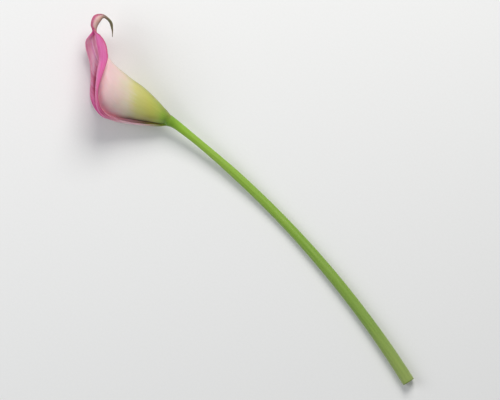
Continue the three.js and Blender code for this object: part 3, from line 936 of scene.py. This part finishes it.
def inside_of_spathe():
    r = Recipe("spathe inside")
    side, s, to_margin = r.remembered()
    _, share = blade_share(r, side, to_margin)
    wide, fine = blade_streaks(r, side, s, share)
    patches = r.cloud(r.place(), 110, 3, 0.55)
    body = r.ramp(r.plus(to_margin, r.spread(wide, 5)), PINK_DEPTH, [
        (0, (176, 34, 96)), (0.8, (196, 52, 122)), (2.4, (208, 66, 144)), (7, (212, 78, 152)),
        (12, (218, 104, 164)), (18, (228, 150, 182)), (28, (236, 200, 200)),
    ])
    # paler lower lobe: partly its own colour, partly painted light that lifts the shade under the upper lobe
    lower = r.times(r.soft(side, 1, -1), r.soft(to_margin, 4, 9))
    body = r.wash(body, (216, 138, 166), r.times(lower, r.soft(s, 38, 48, 0.4, 1)))
    # painted light: a pale glow deep in the lower lobe's hollow lifts the fold's shadow
    inner = r.plus(to_margin, r.soft(s, 54, 60, 0, 4.5))
    painted_hollow_light = r.times(lower, r.soft(inner, 12.5, 17))
    painted_glow_colour = r.mix(r.soft(s, 41, 50), screen(255, 168, 206), screen(255, 212, 230))
    body = r.mix(r.times(painted_hollow_light, r.soft(s, 34, 42)), body, painted_glow_colour)
    upper = r.soft(side, -1, 1)
    body = r.wash(body, (228, 156, 188), r.times(upper, r.soft(s, 49, 42)), 0.5)
    faded = r.times(r.times(upper, r.soft(to_margin, 7, 2)), r.soft(s, 44, 48))
    body = r.wash(body, (190, 112, 160), faded, 0.65)
    # painted highlights and painted shade: lighter and darker streaks along soft folds
    fold_light_and_shade = r.cloud(r.vector(r.times(share, 11), r.times(s, 0.03), r.math("SIGN", side)), 1, 2, 0.5)
    body = r.wash(body, (212, 128, 186), r.soft(fold_light_and_shade, 0.5, 0.7, 0, 0.6))
    body = r.wash(body, (186, 48, 116), r.soft(fold_light_and_shade, 0.5, 0.32, 0, 0.6))
    body = r.wash(body, (176, 32, 90), r.soft(to_margin, 0.9, 0.1), 0.7)
    throat = r.soft(r.plus(s, r.times(share, 6)), 30, 12)
    body = r.wash(body, (196, 204, 104), r.times(throat, r.soft(to_margin, 1.5, 4)))
    # pale pink rim along the closed funnel, made paler still as painted light on its shaded, downturned face
    pale_rim_painted_light = r.times(r.soft(s, 38, 24), r.soft(to_margin, 9, 4))
    body = r.wash(body, (246, 202, 208), pale_rim_painted_light, 0.9)
    body = r.wash(body, (134, 150, 66), r.soft(s, 17, 4, 0, 0.9))
    tail = r.mix(r.soft(s, 66, 74), screen(186, 92, 126), screen(100, 92, 62))
    colour = r.mix(r.soft(s, 60, 65), body, tail)
    colour = r.wash(colour, (214, 110, 160), r.soft(fine, 0.5, 0.72), 0.25, "MULTIPLY")
    return r.finish({
        "Base Color": colour, "Roughness": r.soft(patches, 0.3, 0.7, 0.4, 0.55),
        "Normal": r.bump(fine, 0.0002, 0.5, petal_grain(r)),
        "Subsurface Radius": (1, 0.4, 0.55), "Sheen Weight": 0.18, **PETAL,
    })


spathe.data.materials.append(inside_of_spathe())
spathe.data.materials.append(outside)
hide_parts("spathe")
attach(spathe, "root")
print("spathe materials:", [m.name for m in spathe.data.materials])

# %% [markdown]
# The stem's skin is smooth and satin, a fresh yellow-green under the flower, a deeper green further down
# and paler again near the cut, with faint lighter and darker lines along it. The cut shows pale flesh
# inside a green rim, with the vessels as scattered dots.

# %% Skin and flesh of the stem
def skin_of_stem():
    r = Recipe("stem skin")
    east, north, distance = r.remembered()
    patches = r.cloud(r.place(), 45, 3, 0.55)
    colour = r.ramp(r.plus(distance, r.spread(patches, 16)), STEM_LENGTH, [
        (0, (118, 158, 40)), (8, (142, 184, 52)), (30, (144, 182, 60)), (90, (128, 166, 56)),
        (150, (128, 160, 66)), (190, (150, 168, 92)),
    ])
    lines = r.cloud(r.vector(east, north, r.times(distance, 0.006)), 9, 3, 0.6)
    lined = r.soft(distance, 2, 24)
    colour = r.wash(colour, (170, 192, 96), r.times(lined, r.soft(lines, 0.5, 0.75, 0, 0.5)))
    colour = r.wash(colour, (84, 122, 36), r.times(lined, r.soft(lines, 0.5, 0.25, 0, 0.35)))
    grain = r.bump(r.cells(r.place(), 5000), 0.00004, 0.3)
    return r.finish({
        "Base Color": colour, "Roughness": r.soft(patches, 0.3, 0.7, 0.32, 0.46),
        "Normal": r.bump(lines, 0.0003, 0.5, grain),
        "Subsurface Weight": 0.12, "Subsurface Scale": 0.0015, "Subsurface Radius": (0.7, 1, 0.3),
        "Coat Weight": 0.05, "Coat Roughness": 0.3, "Specular IOR Level": 0.35,
    })


def flesh_of_stem():
    r = Recipe("stem flesh")
    pores = r.cells(r.place(), 2600)
    vessels = r.cells(r.place(), 1150)
    colour = r.mix(r.soft(pores, 0, 0.5), screen(190, 204, 132), screen(226, 230, 182))
    colour = r.wash(colour, (134, 150, 74), r.soft(vessels, 0.22, 0.1, 0, 0.8))
    return r.finish({
        "Base Color": colour, "Roughness": 0.3, "Normal": r.bump(pores, 0.00008, 0.6),
        "Subsurface Weight": 0.25, "Subsurface Scale": 0.0015, "Subsurface Radius": (0.8, 1, 0.4),
        "Coat Weight": 0.3, "Coat Roughness": 0.15,
    })


stem.data.materials.append(skin_of_stem())
stem.data.materials.append(flesh_of_stem())
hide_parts("stem")
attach(stem, "root")
print("stem materials:", [m.name for m in stem.data.materials])

# %% [markdown]
# Pollen makes the upper florets powdery and a warm yellow-orange, and the ovaries below are pale green.
# Each floret remembers a random tint and how high on its dome a point is, so the hollows between are
# darker, a painted shade.

# %% Florets of the spadix
def florets_of_spadix():
    r = Recipe("spadix florets")
    tint, share, height = r.remembered()
    powder = r.cloud(r.place(), 7000, 2, 0.6)
    colour = r.ramp(share, 1, [
        (0, (200, 210, 130)), (0.2, (218, 214, 130)), (0.27, (240, 200, 112)), (0.6, (246, 194, 104)),
        (1, (244, 182, 96)),
    ])
    colour = r.wash(colour, (252, 224, 146), tint, 0.35)
    # painted shade: darker in the hollows between the florets
    colour = r.wash(colour, (212, 152, 72), r.soft(height, 0.45, 0, 0, 0.6))
    colour = r.wash(colour, (254, 234, 170), r.soft(powder, 0.55, 0.7, 0, 0.4))
    return r.finish({
        "Base Color": colour, "Roughness": 0.82, "Normal": r.bump(powder, 0.00006, 0.7),
        "Subsurface Weight": 0.1, "Subsurface Scale": 0.0006, "Subsurface Radius": (1, 0.6, 0.2),
    })


spadix.data.materials.append(florets_of_spadix())
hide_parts("spadix")
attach(spadix, "root")
print("spadix material:", spadix.data.materials[0].name)

# %% [markdown]
# The flower lies on a plain pale floor under soft studio light. A large key light stands beyond the top of
# the picture, a little to the right, so the upper flank of the funnel is bright and its front edge falls
# into shade. A weaker fill on the left and a pale sky keep the shadows open.

# %% Floor and light
FLOOR_REACH = 3.0                # metres from its middle to each side


def wide_floor():
    slab = bmesh.new()
    bmesh.ops.create_grid(slab, x_segments=1, y_segments=1, size=FLOOR_REACH)
    floor = piece_from(slab, "floor")
    r = Recipe("pale paper")
    fibres = r.cloud(r.place(), 900.0, 3.0, 0.6)
    colour = r.mix(fibres, screen(236, 236, 234), screen(241, 241, 240))
    floor.data.materials.append(r.finish({"Base Color": colour, "Roughness": 0.7, "Specular IOR Level": 0.2}))
    return floor


PICTURE_TURN = math.radians(-134)        # the picture's right, as a direction seen from above
picture_right = Vector((math.cos(PICTURE_TURN), math.sin(PICTURE_TURN), 0))
picture_up = Vector((-math.sin(PICTURE_TURN), math.cos(PICTURE_TURN), 0))


def soft_light(name, rightwards, upwards, height, size, power, colour):
    """A square area light that looks at the flower, placed by the picture's own directions, in metres."""
    light = bpy.data.lights.new(name, "AREA")
    light.shape, light.size, light.energy, light.color = "SQUARE", size, power, colour
    lamp = bpy.data.objects.new(name, light)
    lamp.location = picture_right * rightwards + picture_up * upwards + Vector((0, 0, height))
    lamp.rotation_euler = (-lamp.location).to_track_quat("-Z", "Y").to_euler()
    bpy.context.scene.collection.objects.link(lamp)


wide_floor()
soft_light("key", 0.15, 0.7, 0.7, 0.5, 7.0, (1.0, 0.985, 0.96))
soft_light("fill", -0.8, 0.1, 0.6, 0.6, 3.4, (0.97, 0.98, 1.0))
sky = bpy.data.worlds.new("pale sky")
sky.use_nodes = True
daylight = sky.node_tree.nodes["Background"].inputs
daylight["Color"].default_value = (0.92, 0.95, 1.0, 1.0)
daylight["Strength"].default_value = 0.32
bpy.context.scene.world = sky
bpy.context.scene.view_settings.view_transform = "Standard"

# %% [markdown]
# The photograph shows the flower from its side. Lying down, that side faces up, so the camera looks
# straight down, turned until the bloom has the same pose: tail up left, stem down right. It stands far off,
# which keeps the shapes free of perspective, with a lens so long that the flower fills the picture.

# %% The camera
CAMERA_HEIGHT, CAMERA_LENS = 3.0, 405.0          # metres above the floor; millimetres
MIDDLE_RIGHT, MIDDLE_UP = 4.1 * MM, 5.0 * MM     # the flower's middle, in the picture's own directions

lens = bpy.data.cameras.new("overhead")
lens.lens = CAMERA_LENS
camera = bpy.data.objects.new("overhead", lens)
camera.location = picture_right * MIDDLE_RIGHT + picture_up * MIDDLE_UP + Vector((0, 0, CAMERA_HEIGHT))
camera.rotation_euler = (0, 0, PICTURE_TURN)
bpy.context.scene.collection.objects.link(camera)
bpy.context.scene.camera = camera
print("the picture is", round(CAMERA_HEIGHT * lens.sensor_width / CAMERA_LENS / MM), "mm wide on the floor")
